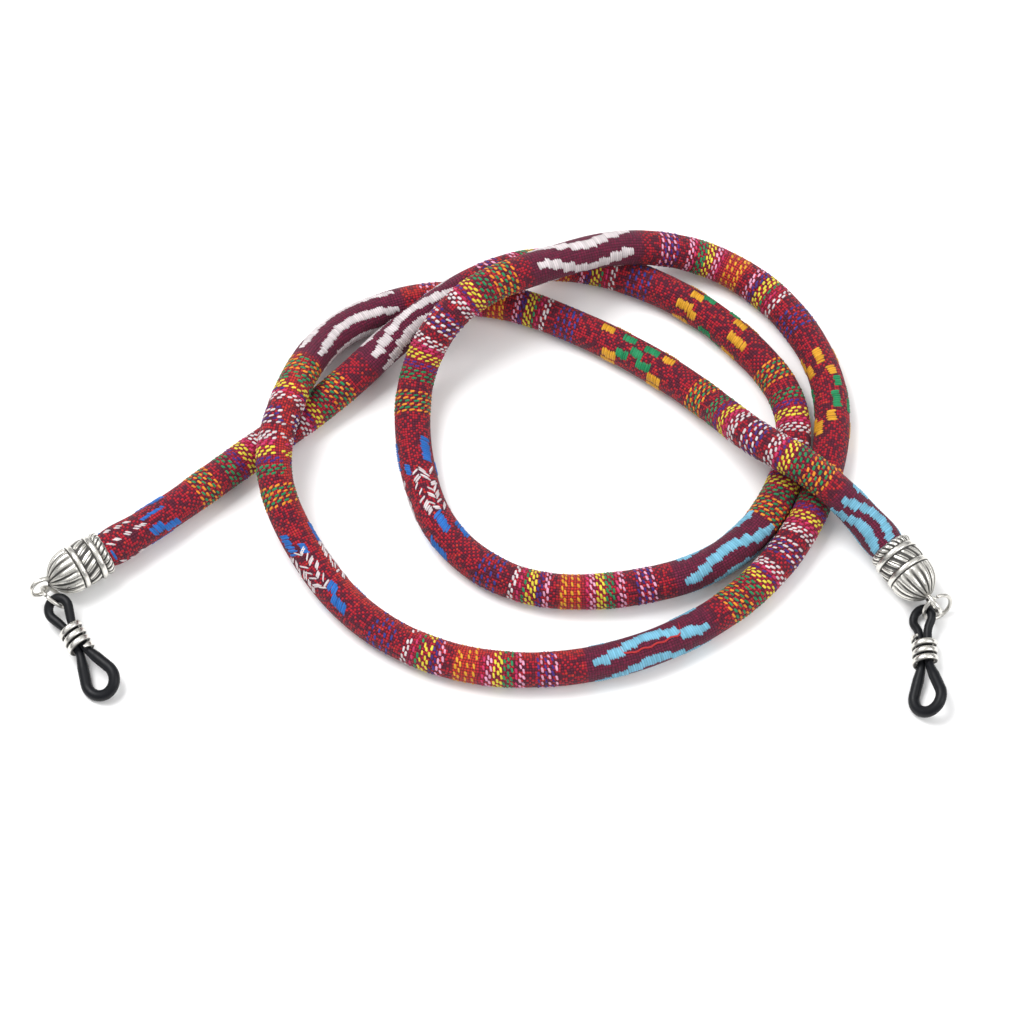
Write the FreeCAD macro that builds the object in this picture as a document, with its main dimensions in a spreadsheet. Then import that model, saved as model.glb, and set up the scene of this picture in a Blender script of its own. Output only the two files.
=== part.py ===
import FreeCAD, Part
import math
import os

# Eyeglass retainer strap: a soft woven cord lying in loose loops on a table,
# a cast metal cap on each end, and on each cap a split ring, a black rubber
# loop for the temple of the glasses, and a metal coil that tightens the loop.
# Lengths are in millimetres, +Z is up.

os.makedirs("parts", exist_ok=True)
doc = FreeCAD.newDocument("retainer_strap")
V = FreeCAD.Vector

# ---------------------------------------------------------------- sizes
SIZES = [
    ("cord_dia", 6.2), ("cover_wall", 0.45), ("core_dia", 5.24),
    ("cap_bore_dia", 6.3), ("cap_bore_deep", 6.6), ("cord_in_cap", 5.0),
    ("band_dia", 8.6), ("cap_tall", 11.5),
    ("flute_count", 16), ("flute_wire", 0.30), ("flute_ring", 5.16),
    ("rope_count", 22), ("rope_cut", 0.20), ("rope_long", 1.5),
    ("leaf_count", 14), ("leaf_cut", 0.20), ("leaf_long", 2.5),
    ("eye_ring", 1.95), ("eye_wire", 0.42), ("eye_height", 13.0),
    ("jump_ring_rad", 2.7), ("jump_wire", 0.36), ("jump_split", 0.18),
    ("rubber_rad", 0.78),
    ("coil_mean", 1.89), ("coil_pitch", 1.5), ("coil_turns", 3.4),
    ("coil_wide", 0.56), ("coil_thick", 0.20), ("coil_at", 9.1),
]
sheet = doc.addObject("Spreadsheet::Sheet", "Sizes")
for row, (name, value) in enumerate(SIZES, start=1):
    sheet.set("A%d" % row, name)
    sheet.set("B%d" % row, "%g" % value)
    sheet.setAlias("B%d" % row, name)
doc.recompute()
S = {name: float(value) for name, value in SIZES}

# The whole assembly is moved by SHIFT so that the origin is the middle of the
# bottom of the fittings' box.
SHIFT = V(3.7092, 23.8375, -0.0113)


def frame_of(origin, z, x):
    """Placement whose local Z is z and whose local X is x made square to z."""
    z = V(*z); z.normalize()
    x = V(*x); x = x - z * x.dot(z); x.normalize()
    y = z.cross(x)
    m = FreeCAD.Matrix(x.x, y.x, z.x, 0, x.y, y.y, z.y, 0, x.z, y.z, z.z, 0, 0, 0, 0, 1)
    place = FreeCAD.Placement(m)
    place.Base = V(*origin) + SHIFT
    return place


SIDES = {
    "left": {
        "mouth": (-72.34, -9.96, 4.4), "axis": (-0.8449, -0.5349, 0.0),
        "eye_axis": (-0.5268, 0.8321, -0.1736),
        "ring": (-81.096, -18.065, 2.715), "ring_axis": (0.6251, 0.5829, 0.5192),
        "loop": (-81.458, -18.564, 3.678), "loop_dir": (0.5146, -0.8529, -0.0883),
        "loop_normal": (0.3629, 0.3099, -0.8788), "split": 0.0,
    },
    "right": {
        "mouth": (66.99, -9.46, 4.8), "axis": (0.5696, -0.8209, -0.0400),
        "eye_axis": (0.8096, 0.5521, 0.1992),
        "ring": (75.207, -20.171, 2.947), "ring_axis": (0.4465, -0.8406, 0.3065),
        "loop": (72.591, -19.318, 1.947), "loop_dir": (0.0065, -0.9996, 0.0269),
        "loop_normal": (-0.6071, 0.0174, 0.7945), "split": 0.0,
    },
}

# ---------------------------------------------------------------- the cord
# Corner points of the cord's centre line, from the left cap to the right cap.
# The cord crosses itself several times; where it does, one run is lifted over
# the other.
ROUTE = [
    (-76.565, -12.635, 4.40), (-64.905, -5.253, 4.40), (-48.7, 8.8, 3.16),
    (-32.9, 21.4, 3.16), (-19.6, 34.5, 5.8), (-4.8, 42.9, 11.0),
    (9.8, 49.9, 4.0), (26.7, 45.3, 3.14), (41.2, 34.7, 3.3), (52.1, 20.1, 3.16),
    (49.3, 2.1, 3.14), (37.9, -12.0, 3.16), (20.0, -17.4, 3.14),
    (1.5, -17.2, 3.16), (-13.5, -7.2, 3.2), (-19.5, 9.3, 3.14),
    (-19.1, 25.8, 6.5), (-9.1, 36.3, 15.0), (6.2, 43.5, 13.9),
    (21.2, 50.4, 9.3), (37.4, 50.9, 3.3), (51.2, 40.0, 3.14),
    (59.0, 23.1, 3.4), (56.6, 3.9, 3.14), (46.8, -13.6, 3.2),
    (30.9, -26.1, 3.14), (11.7, -32.5, 3.16), (-8.4, -32.2, 3.14),
    (-25.7, -24.1, 3.16), (-37.0, -10.1, 3.14), (-43.8, 4.3, 8.8),
    (-39.9, 19.9, 10.0), (-34.1, 34.1, 3.6), (-19.5, 42.3, 3.14),
    (-1.4, 42.3, 3.16), (15.4, 34.7, 3.14), (28.067, 26.847, 3.168),
    (37.1, 18.815, 4.364), (43.135, 9.735, 10.262), (53.415, 3.031, 11.21),
    (63.217, -4.023, 5.065), (69.838, -13.565, 4.60),
]


def rounded_path(points):
    """Straight runs joined by tangent arcs; also gives the arcs' radii."""
    edges, radii = [], []
    start = points[0]
    for k in range(1, len(points) - 1):
        a, b, c = points[k - 1], points[k], points[k + 1]
        u = b - a
        w = c - b
        lu, lw = u.Length, w.Length
        u.normalize()
        w.normalize()
        turn = u.getAngle(w)
        q = 0.45 * min(lu, lw)
        r = q / math.tan(turn / 2)
        p1 = b - u * q
        p2 = b + w * q
        m = w - u
        m.normalize()
        centre = b + m * math.hypot(r, q)
        mid = centre - m * r
        edges += [Part.LineSegment(start, p1).toShape(), Part.Arc(p1, mid, p2).toShape()]
        start = p2
        radii.append(r)
    edges.append(Part.LineSegment(start, points[-1]).toShape())
    return Part.Wire(edges), radii


route_points = [V(*p) + SHIFT for p in ROUTE]
path_wire, path_radii = rounded_path(route_points)
path = doc.addObject("Part::Feature", "cord_path")
path.Shape = path_wire
first = route_points[1] - route_points[0]
cord_start = frame_of(ROUTE[0], (first.x, first.y, first.z), (0, 0, 1))


def cord_sweep(name, expression):
    circle = doc.addObject("Part::Circle", name + "_section")
    circle.setExpression("Radius", expression)
    circle.Placement = cord_start
    sweep = doc.addObject("Part::Sweep", name)
    sweep.Sections = [circle]
    sweep.Spine = (path, [])
    sweep.Solid = True
    sweep.Frenet = False
    return sweep


cover_out = cord_sweep("cover_out", "Sizes.cord_dia / 2")
cover_in = cord_sweep("cover_in", "Sizes.cord_dia / 2 - Sizes.cover_wall")
cord_core = cord_sweep("cord_core", "Sizes.core_dia / 2")
cord_cover = doc.addObject("Part::Cut", "cord_cover")
cord_cover.Base = cover_out
cord_cover.Tool = cover_in


# ---------------------------------------------------------------- end caps
def origin_part(body, role):
    for feature in body.Origin.OriginFeatures:
        if feature.Role == role:
            return feature
    raise RuntimeError(role)


def cap_profile():
    """Half section of the cap, (radius, height) from the mouth to the tip."""
    bore = S["cap_bore_dia"] / 2
    deep = S["cap_bore_deep"]
    band = S["band_dia"] / 2
    tip = S["cap_tall"]
    outline = [
        (bore, 0.0), (3.72, 0.0), ("arc", (4.02, 0.68), (3.72, 1.36)),
        (3.72, 1.56), (band - 0.12, 1.60), ("arc", (band, 2.05), (band - 0.12, 2.5)),
        (3.85, 2.56), (3.85, 2.72), (4.06, 2.80), (4.10, 4.86), (3.85, 4.94), (3.85, 5.08),
        (band - 0.12, 5.12), ("arc", (band, 5.55), (band - 0.12, 5.98)),
        (3.88, 6.04), (3.88, 6.3), (4.15, 6.6),
    ]
    # dome: an arc that leaves the wall upright and ends near the tip
    cx, cz, cr = -0.91, 6.6, 5.06
    half = math.radians(35)
    outline += [("arc", (cx + cr * math.cos(half), cz + cr * math.sin(half)), (0.70, 11.395)),
                (0.60, tip), (0.0, tip), (0.0, deep), (bore, deep)]
    return outline


def make_cap(side, spec):
    body = doc.addObject("PartDesign::Body", "end_cap_" + side)
    sketch = body.newObject("Sketcher::SketchObject", "cap_section_" + side)
    sketch.AttachmentSupport = [(origin_part(body, "XZ_Plane"), "")]
    sketch.MapMode = "FlatFace"
    outline = cap_profile()
    last = outline[0]
    for item in outline[1:] + [outline[0]]:
        if item[0] == "arc":
            mid, end = item[1], item[2]
            sketch.addGeometry(Part.Arc(V(last[0], last[1], 0), V(mid[0], mid[1], 0), V(end[0], end[1], 0)), False)
            last = end
        else:
            sketch.addGeometry(Part.LineSegment(V(last[0], last[1], 0), V(item[0], item[1], 0)), False)
            last = item
    blank = body.newObject("PartDesign::Revolution", "cap_blank_" + side)
    blank.Profile = sketch
    blank.ReferenceAxis = (sketch, ["V_Axis"])
    blank.Angle = 360
    doc.recompute()
    before = blank.Shape.Volume

    zaxis = origin_part(body, "Z_Axis")

    def pattern(name, feature, count):
        pat = body.newObject("PartDesign::PolarPattern", name + side)
        pat.Originals = [feature]
        pat.Axis = (zaxis, [""])
        pat.Angle = 360
        pat.setExpression("Occurrences", count)
        body.Tip = pat
        doc.recompute()
        return pat

    # gadroon flutes that run up the dome
    flute = body.newObject("PartDesign::SubtractiveTorus", "flute_" + side)
    flute.setExpression("Radius1", "Sizes.flute_ring")
    flute.setExpression("Radius2", "Sizes.flute_wire")
    flute.Angle3 = 56
    flute.Placement = FreeCAD.Placement(V(-0.91, 0, 6.6), FreeCAD.Rotation(V(1, 0, 0), 90))
    doc.recompute()
    pattern("flutes_", flute, "Sizes.flute_count")

    # diagonal cuts of the rope edge at the mouth
    rope = body.newObject("PartDesign::SubtractiveCylinder", "rope_" + side)
    rope.setExpression("Radius", "Sizes.rope_cut")
    rope.setExpression("Height", "Sizes.rope_long")
    turn = FreeCAD.Rotation(V(1, 0, 0), 32)
    rope.Placement = FreeCAD.Placement(V(4.02, 0, 0.68) - turn.multVec(V(0, 0, S["rope_long"] / 2)), turn)
    doc.recompute()
    pattern("ropes_", rope, "Sizes.rope_count")

    # slanted leaf cuts between the two bands
    leaf = body.newObject("PartDesign::SubtractiveCylinder", "leaf_" + side)
    leaf.setExpression("Radius", "Sizes.leaf_cut")
    leaf.setExpression("Height", "Sizes.leaf_long")
    turn = FreeCAD.Rotation(V(1, 0, 0), 28)
    leaf.Placement = FreeCAD.Placement(V(4.10, 0, 3.83) - turn.multVec(V(0, 0, S["leaf_long"] / 2)), turn)
    doc.recompute()
    pattern("leaves_", leaf, "Sizes.leaf_count")

    # cast eye at the tip
    eye = body.newObject("PartDesign::AdditiveTorus", "eye_" + side)
    eye.setExpression("Radius1", "Sizes.eye_ring")
    eye.setExpression("Radius2", "Sizes.eye_wire")
    eye.Placement = FreeCAD.Placement(V(0, 0, S["eye_height"]), FreeCAD.Rotation(V(0, 1, 0), 90))
    body.Tip = eye
    doc.recompute()
    print("cap", side, "blank volume", round(before, 3), "finished", round(body.Shape.Volume, 3))
    body.Placement = frame_of(spec["mouth"], spec["axis"], spec["eye_axis"])
    return body


def make_glue(side, spec):
    glue = doc.addObject("Part::Cylinder", "cap_glue_" + side)
    glue.setExpression("Radius", "Sizes.cap_bore_dia / 2")
    glue.setExpression("Height", "Sizes.cap_bore_deep - Sizes.cord_in_cap")
    place = frame_of(spec["mouth"], spec["axis"], spec["eye_axis"])
    glue.Placement = place.multiply(FreeCAD.Placement(V(0, 0, S["cord_in_cap"]), FreeCAD.Rotation()))
    return glue


# ---------------------------------------------------------------- jump ring
def make_ring(side, spec):
    torus = doc.addObject("Part::Torus", "ring_wire_" + side)
    torus.setExpression("Radius1", "Sizes.jump_ring_rad")
    torus.setExpression("Radius2", "Sizes.jump_wire")
    gap = doc.addObject("Part::Box", "ring_gap_" + side)
    gap.Length = 2.0
    gap.setExpression("Width", "Sizes.jump_split")
    gap.Height = 2.0
    turn = FreeCAD.Rotation(V(0, 0, 1), spec["split"])
    gap.Placement = FreeCAD.Placement(turn.multVec(V(S["jump_ring_rad"] - 1.0, -S["jump_split"] / 2, -1.0)), turn)
    ring = doc.addObject("Part::Cut", "jump_ring_" + side)
    ring.Base = torus
    ring.Tool = gap
    ring.Placement = frame_of(spec["ring"], spec["ring_axis"], (0, 0, 1))
    return ring


# ---------------------------------------------------------------- rubber loop
def loop_wire():
    """Closed centre line in the plane local Z = 0: X runs from the ring end to
    the temple end, Y across. Two strands lie side by side in the neck."""
    half = 0.80
    r1, c1, n1 = 1.9, 2.68, 6.2
    r2, c2, n2 = 2.7, 18.1, 12.2
    b1 = ((n1 - c1) ** 2 + half ** 2 - r1 ** 2) / (2 * r1 - 2 * half)
    b2 = ((c2 - n2) ** 2 + half ** 2 - r2 ** 2) / (2 * r2 - 2 * half)

    def joint(cx, r, nx, b, sign):
        """Point where the end arc meets the reverse arc, and the latter's middle."""
        centre = V(cx, 0, 0)
        back = V(nx, sign * (half + b), 0)
        d = centre - back
        d.normalize()
        meet = back + d * b
        neck = V(nx, sign * half, 0)
        mid_dir = (meet - back) + (neck - back)
        mid_dir.normalize()
        return meet, back + mid_dir * b, neck

    m1p, q1p, k1p = joint(c1, r1, n1, b1, 1)
    m1n, q1n, k1n = joint(c1, r1, n1, b1, -1)
    m2p, q2p, k2p = joint(c2, r2, n2, b2, 1)
    m2n, q2n, k2n = joint(c2, r2, n2, b2, -1)
    edges = [
        Part.LineSegment(k1p, k2p).toShape(),
        Part.Arc(k2p, q2p, m2p).toShape(),
        Part.Arc(m2p, V(c2 + r2, 0, 0), m2n).toShape(),
        Part.Arc(m2n, q2n, k2n).toShape(),
        Part.LineSegment(k2n, k1n).toShape(),
        Part.Arc(k1n, q1n, m1n).toShape(),
        Part.Arc(m1n, V(c1 - r1, 0, 0), m1p).toShape(),
        Part.Arc(m1p, q1p, k1p).toShape(),
    ]
    return Part.Wire(edges), k1p


def make_loop(side, spec):
    wire, start = loop_wire()
    line = doc.addObject("Part::Feature", "rubber_path_" + side)
    line.Shape = wire
    circle = doc.addObject("Part::Circle", "rubber_section_" + side)
    circle.setExpression("Radius", "Sizes.rubber_rad")
    circle.Placement = FreeCAD.Placement(start, FreeCAD.Rotation(V(0, 1, 0), 90))
    sweep = doc.addObject("Part::Sweep", "rubber_loop_" + side)
    sweep.Sections = [circle]
    sweep.Spine = (line, [])
    sweep.Solid = True
    sweep.Frenet = False
    # local X along the loop, local Z square to it
    z = V(*spec["loop_normal"])
    x = V(*spec["loop_dir"])
    x.normalize()
    z = z - x * z.dot(x)
    sweep.Placement = frame_of(spec["loop"], (z.x, z.y, z.z), (x.x, x.y, x.z))
    return sweep


# ---------------------------------------------------------------- coil slider
def make_coil(side, spec):
    helix = doc.addObject("Part::Helix", "coil_path_" + side)
    helix.setExpression("Radius", "Sizes.coil_mean")
    helix.setExpression("Pitch", "Sizes.coil_pitch")
    helix.setExpression("Height", "Sizes.coil_pitch * Sizes.coil_turns")
    helix.LocalCoord = 0
    section = doc.addObject("Part::Ellipse", "coil_section_" + side)
    section.setExpression("MajorRadius", "Sizes.coil_wide")
    section.setExpression("MinorRadius", "Sizes.coil_thick")
    # wide axis along the coil's axis, narrow axis radial
    section.Placement = FreeCAD.Placement(V(S["coil_mean"], 0, 0), FreeCAD.Rotation(V(0, 0, 1), V(1, 0, 0), V(0, 1, 0), "XYZ"))
    sweep = doc.addObject("Part::Sweep", "coil_slider_" + side)
    sweep.Sections = [section]
    sweep.Spine = (helix, [])
    sweep.Solid = True
    sweep.Frenet = True
    base = V(*spec["loop"])
    x = V(*spec["loop_dir"])
    x.normalize()
    tall = S["coil_pitch"] * S["coil_turns"]
    foot = base + x * (S["coil_at"] - tall / 2)
    normal = V(*spec["loop_normal"])
    sweep.Placement = frame_of((foot.x, foot.y, foot.z), (x.x, x.y, x.z), (normal.x, normal.y, normal.z))
    return sweep


nodes = {"cord_cover": cord_cover, "cord_core": cord_core}
for side, spec in SIDES.items():
    nodes["end_cap_" + side] = make_cap(side, spec)
    nodes["cap_glue_" + side] = make_glue(side, spec)
    nodes["jump_ring_" + side] = make_ring(side, spec)
    nodes["rubber_loop_" + side] = make_loop(side, spec)
    nodes["coil_slider_" + side] = make_coil(side, spec)
doc.recompute()

# ---------------------------------------------------------------- checks
problems = []
for obj in doc.Objects:
    if "Invalid" in obj.State or "Error" in obj.State:
        problems.append("%s: %s" % (obj.Name, obj.State))
for name, obj in nodes.items():
    shape = obj.Shape
    if shape.isNull() or not shape.isValid():
        problems.append(name + ": shape is null or not valid")
    elif len(shape.Solids) != 1:
        problems.append("%s: %d solids" % (name, len(shape.Solids)))
print("cord path length", round(path_wire.Length, 2), "mm; smallest bend radius", round(min(path_radii), 2))
print("bend radii", [round(r, 1) for r in path_radii])
area = math.pi * (S["cord_dia"] / 2) ** 2
print("cord volume", round(cover_out.Shape.Volume, 1), "section x length", round(area * path_wire.Length, 1))
fittings = FreeCAD.BoundBox()
for name, obj in nodes.items():
    box = obj.Shape.optimalBoundingBox(True, False) if not obj.Shape.isNull() else FreeCAD.BoundBox()
    print("%-20s %8.3f mm3  x %8.2f..%8.2f  y %8.2f..%8.2f  z %7.3f..%7.3f" % (
        name, obj.Shape.Volume, box.XMin, box.XMax, box.YMin, box.YMax, box.ZMin, box.ZMax))
    if not name.startswith("cord_"):
        fittings.add(box)
print("fittings box", fittings)
print("fittings bottom centre", round((fittings.XMin + fittings.XMax) / 2, 4), round((fittings.YMin + fittings.YMax) / 2, 4), round(fittings.ZMin, 4))
if problems:
    raise RuntimeError("; ".join(problems))

for name, obj in nodes.items():
    obj.Label = name
    obj.Shape.exportStep("parts/" + name + ".step")
print("written", len(nodes), "parts")
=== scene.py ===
import bpy
import math
import numpy as np
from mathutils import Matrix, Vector


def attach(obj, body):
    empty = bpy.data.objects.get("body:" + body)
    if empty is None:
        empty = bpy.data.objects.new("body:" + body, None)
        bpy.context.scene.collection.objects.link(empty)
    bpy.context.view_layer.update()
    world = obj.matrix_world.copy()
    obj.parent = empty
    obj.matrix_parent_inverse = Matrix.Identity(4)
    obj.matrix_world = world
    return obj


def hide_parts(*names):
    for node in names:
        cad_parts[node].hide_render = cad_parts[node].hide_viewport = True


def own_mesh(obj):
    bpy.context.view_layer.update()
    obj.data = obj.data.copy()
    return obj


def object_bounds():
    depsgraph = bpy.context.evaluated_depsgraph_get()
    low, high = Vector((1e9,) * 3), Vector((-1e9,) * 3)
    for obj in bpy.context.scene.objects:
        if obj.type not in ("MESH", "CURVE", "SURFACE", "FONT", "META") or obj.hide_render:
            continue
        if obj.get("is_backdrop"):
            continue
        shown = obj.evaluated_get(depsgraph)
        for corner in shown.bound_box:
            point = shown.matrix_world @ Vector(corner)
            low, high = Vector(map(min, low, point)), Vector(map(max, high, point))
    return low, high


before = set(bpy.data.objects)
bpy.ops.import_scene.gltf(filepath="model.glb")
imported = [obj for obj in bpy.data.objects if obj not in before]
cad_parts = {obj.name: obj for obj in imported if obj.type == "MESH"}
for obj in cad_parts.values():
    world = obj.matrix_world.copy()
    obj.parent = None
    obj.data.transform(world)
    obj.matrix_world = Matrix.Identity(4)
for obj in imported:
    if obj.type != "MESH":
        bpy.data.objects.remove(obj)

box_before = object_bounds()
MM = 0.001
rng = np.random.default_rng(7)
SHIFT = np.array([3.7092, 23.8375, -0.0113])


# ------------------------------------------------------------------ helpers
def unit(v):
    v = np.asarray(v, float)
    return v / np.linalg.norm(v)


def new_mesh(name, verts, faces, smooth=True, uv=None, attrs=None):
    """verts in mm; uv per vertex; attrs: {name: one value per vertex}."""
    me = bpy.data.meshes.new(name)
    me.from_pydata((np.asarray(verts) * MM).tolist(), [], [list(map(int, f)) for f in faces])
    me.update()
    if uv is not None:
        lay = me.uv_layers.new(name="UVMap")
        idx = np.empty(len(me.loops), int)
        me.loops.foreach_get("vertex_index", idx)
        lay.data.foreach_set("uv", np.asarray(uv, float)[idx].ravel())
    for key, vals in (attrs or {}).items():
        a = me.attributes.new(key, "FLOAT", "POINT")
        a.data.foreach_set("value", np.asarray(vals, float))
    if smooth:
        me.polygons.foreach_set("use_smooth", [True] * len(me.polygons))
    ob = bpy.data.objects.new(name, me)
    bpy.context.collection.objects.link(ob)
    return ob


def grid_faces(n, m, wrap_m=True, base=0, flip=False):
    """Quads of an n x m grid of vertices; m runs round and may wrap."""
    i = np.arange(n - 1)[:, None]
    j = np.arange(m if wrap_m else m - 1)[None, :]
    k = (j + 1) % m
    a, b, c, d = i * m + j, i * m + k, (i + 1) * m + k, (i + 1) * m + j
    q = np.stack([a, b, c, d], -1).reshape(-1, 4) + base
    return q[:, ::-1] if flip else q


class Nodes:
    """Small helper that builds shader node trees."""

    def __init__(self, name):
        self.mat = bpy.data.materials.new(name)
        self.mat.use_nodes = True
        self.t = self.mat.node_tree
        self.bsdf = self.t.nodes["Principled BSDF"]

    def put(self, socket, value):
        if isinstance(value, (int, float)):
            socket.default_value = value
        elif isinstance(value, (tuple, list)):
            socket.default_value = tuple(value) + (1.0,) * (4 - len(value)) if socket.type == "RGBA" else value
        else:
            self.t.links.new(value, socket)

    def node(self, kind, **inputs):
        n = self.t.nodes.new(kind)
        for k, v in inputs.items():
            self.put(n.inputs[k], v)
        return n

    def math(self, op, a, b=0.0, c=0.0):
        n = self.t.nodes.new("ShaderNodeMath")
        n.operation = op
        self.put(n.inputs[0], a)
        self.put(n.inputs[1], b)
        self.put(n.inputs[2], c)
        return n.outputs[0]

    def mix(self, fac, a, b, mode="MIX"):
        n = self.t.nodes.new("ShaderNodeMix")
        n.data_type = "RGBA"
        n.blend_type = mode
        self.put(n.inputs[0], fac)
        self.put(n.inputs[6], a)
        self.put(n.inputs[7], b)
        return n.outputs[2]

    def attr(self, name):
        n = self.t.nodes.new("ShaderNodeAttribute")
        n.attribute_name = name
        return n.outputs["Fac"]

    def noise(self, scale, detail=3.0, rough=0.5, vec=None):
        n = self.t.nodes.new("ShaderNodeTexNoise")
        n.inputs["Scale"].default_value = scale
        n.inputs["Detail"].default_value = detail
        n.inputs["Roughness"].default_value = rough
        if vec is None:
            vec = self.t.nodes.new("ShaderNodeTexCoord").outputs["Object"]
        self.t.links.new(vec, n.inputs["Vector"])
        return n.outputs["Fac"]

    def uv(self):
        n = self.t.nodes.new("ShaderNodeUVMap")
        n.uv_map = "UVMap"
        s = self.t.nodes.new("ShaderNodeSeparateXYZ")
        self.t.links.new(n.outputs[0], s.inputs[0])
        return s.outputs[0], s.outputs[1]

    def ramp(self, fac, stops):
        n = self.t.nodes.new("ShaderNodeValToRGB")
        el = n.color_ramp.elements
        while len(el) > 1:
            el.remove(el[-1])
        el[0].position = stops[0][0]
        el[0].color = tuple(stops[0][1]) + (1,)
        for p, c in stops[1:]:
            e = el.new(p)
            e.color = tuple(c) + (1,)
        self.put(n.inputs[0], fac)
        return n.outputs[0]

    def bump(self, height, strength, dist, normal=None):
        n = self.t.nodes.new("ShaderNodeBump")
        n.inputs["Strength"].default_value = strength
        n.inputs["Distance"].default_value = dist
        self.put(n.inputs["Height"], height)
        if normal is not None:
            self.put(n.inputs["Normal"], normal)
        return n.outputs[0]

    def done(self, color=None, rough=None, metal=None, normal=None, **more):
        b = self.bsdf
        for key, v in (("Base Color", color), ("Roughness", rough), ("Metallic", metal), ("Normal", normal)):
            if v is not None:
                self.put(b.inputs[key], v)
        for key, v in more.items():
            self.put(b.inputs[key.replace("_", " ")], v)
        return self.mat


def srgb(r, g, b):
    return tuple(((c / 255) / 12.92 if c / 255 <= 0.04045 else ((c / 255 + 0.055) / 1.055) ** 2.4) for c in (r, g, b))


# ------------------------------------------------------------------ cord line
ROUTE = np.array([
    (-76.565, -12.635, 4.40), (-64.905, -5.253, 4.40), (-48.7, 8.8, 3.16),
    (-32.9, 21.4, 3.16), (-19.6, 34.5, 5.8), (-4.8, 42.9, 11.0),
    (9.8, 49.9, 4.0), (26.7, 45.3, 3.14), (41.2, 34.7, 3.3), (52.1, 20.1, 3.16),
    (49.3, 2.1, 3.14), (37.9, -12.0, 3.16), (20.0, -17.4, 3.14),
    (1.5, -17.2, 3.16), (-12.6, -7.2, 3.2), (-18.1, 9.3, 3.14),
    (-17.9, 25.8, 6.5), (-9.1, 36.3, 15.0), (6.2, 43.5, 13.9),
    (21.2, 50.4, 9.3), (37.4, 50.9, 3.3), (51.2, 40.0, 3.14),
    (59.0, 23.1, 3.4), (56.6, 3.9, 3.14), (46.8, -13.6, 3.2),
    (30.9, -26.1, 3.14), (11.7, -32.5, 3.16), (-8.4, -32.2, 3.14),
    (-25.7, -24.1, 3.16), (-37.0, -10.1, 3.14), (-43.8, 4.3, 8.8),
    (-39.9, 19.9, 10.0), (-34.1, 34.1, 3.6), (-19.5, 42.3, 3.14),
    (-1.4, 42.3, 3.16), (15.4, 34.7, 3.14), (28.067, 26.847, 3.168),
    (37.1, 18.815, 4.364), (43.135, 9.735, 10.262), (53.415, 3.031, 11.21),
    (63.217, -4.023, 5.065), (69.838, -13.565, 4.60),
]) + SHIFT

curve = bpy.data.curves.new("cord_line", "CURVE")
curve.dimensions = "3D"
curve.resolution_u = 24
spl = curve.splines.new("NURBS")
spl.points.add(len(ROUTE) - 1)
for p, q in zip(spl.points, ROUTE):
    p.co = (q[0] * MM, q[1] * MM, q[2] * MM, 1.0)
spl.order_u = 3
spl.use_endpoint_u = True
line_ob = bpy.data.objects.new("cord_line", curve)
bpy.context.collection.objects.link(line_ob)
bpy.context.view_layer.update()
line_mesh = bpy.data.meshes.new_from_object(line_ob.evaluated_get(bpy.context.evaluated_depsgraph_get()))
raw = np.array([v.co for v in line_mesh.vertices]) / MM
bpy.data.objects.remove(line_ob)
run = np.r_[0, np.cumsum(np.linalg.norm(np.diff(raw, axis=0), axis=1))]
LENGTH = run[-1]
print("cord line length mm", round(LENGTH, 2), "points", len(raw))

STEP = 0.31
S_AX = np.linspace(0, LENGTH, int(LENGTH / STEP) + 1)
CEN = np.stack([np.interp(S_AX, run, raw[:, k]) for k in range(3)], 1)
# light smoothing of the read points' facets
for _ in range(6):
    CEN[1:-1] = 0.25 * CEN[:-2] + 0.5 * CEN[1:-1] + 0.25 * CEN[2:]
TAN = np.gradient(CEN, axis=0)
TAN /= np.linalg.norm(TAN, axis=1)[:, None]
UP = np.zeros_like(TAN)
SIDE = np.zeros_like(TAN)
for k in range(len(TAN)):
    u = np.array([0, 0, 1.0]) - TAN[k] * TAN[k][2]
    UP[k] = u / np.linalg.norm(u)
    SIDE[k] = np.cross(TAN[k], UP[k])
RAD = 3.12
# the angle round the cord that looks up towards a viewer in front of the table
ELEV = math.radians(64)
EYE = SHIFT + np.array([0, -660 * math.cos(ELEV), 660 * math.sin(ELEV)])
look = CEN - EYE
look /= np.linalg.norm(look, axis=1)[:, None]
front = -(look - TAN * (look * TAN).sum(1)[:, None])
FACING = np.unwrap(np.arctan2((front * SIDE).sum(1), (front * UP).sum(1)))


def facing(s):
    return np.interp(s, S_AX, FACING)


def reverse_side(s, a):
    """How much the redder, coarser side of the weave shows at s, a (0 to 1);
    the cord is twisted there and this side winds over it."""
    mid = facing(s) + np.radians(np.interp(s, [440, 462, 530, 548, 562, 600], [80, 66, 62, 4, -46, -55]))
    off = (a - mid + math.pi) % (2 * math.pi) - math.pi
    return np.exp(-(off / math.radians(27)) ** 4) * np.interp(s, [455, 467, 590, 606], [0, 1, 1, 0])



def at(arr, s):
    s = np.clip(s, 0, LENGTH)
    return np.stack([np.interp(s, S_AX, arr[:, k]) for k in range(arr.shape[1])], -1)


def surface(s, a, r):
    """Point of the cord at s mm along it, angle a from the top, radius r."""
    c, u, v = at(CEN, s), at(UP, s), at(SIDE, s)
    p = c + r[..., None] * (np.cos(a)[..., None] * u + np.sin(a)[..., None] * v)
    p[..., 2] = np.maximum(p[..., 2], 0.02)
    return p


# how far the cord may stand out at each place before it meets another run
NS, NA = len(S_AX), 40
ANG = np.linspace(0, 2 * np.pi, NA, endpoint=False)
coarse = CEN[::4]
coarse_s = S_AX[::4]


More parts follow.
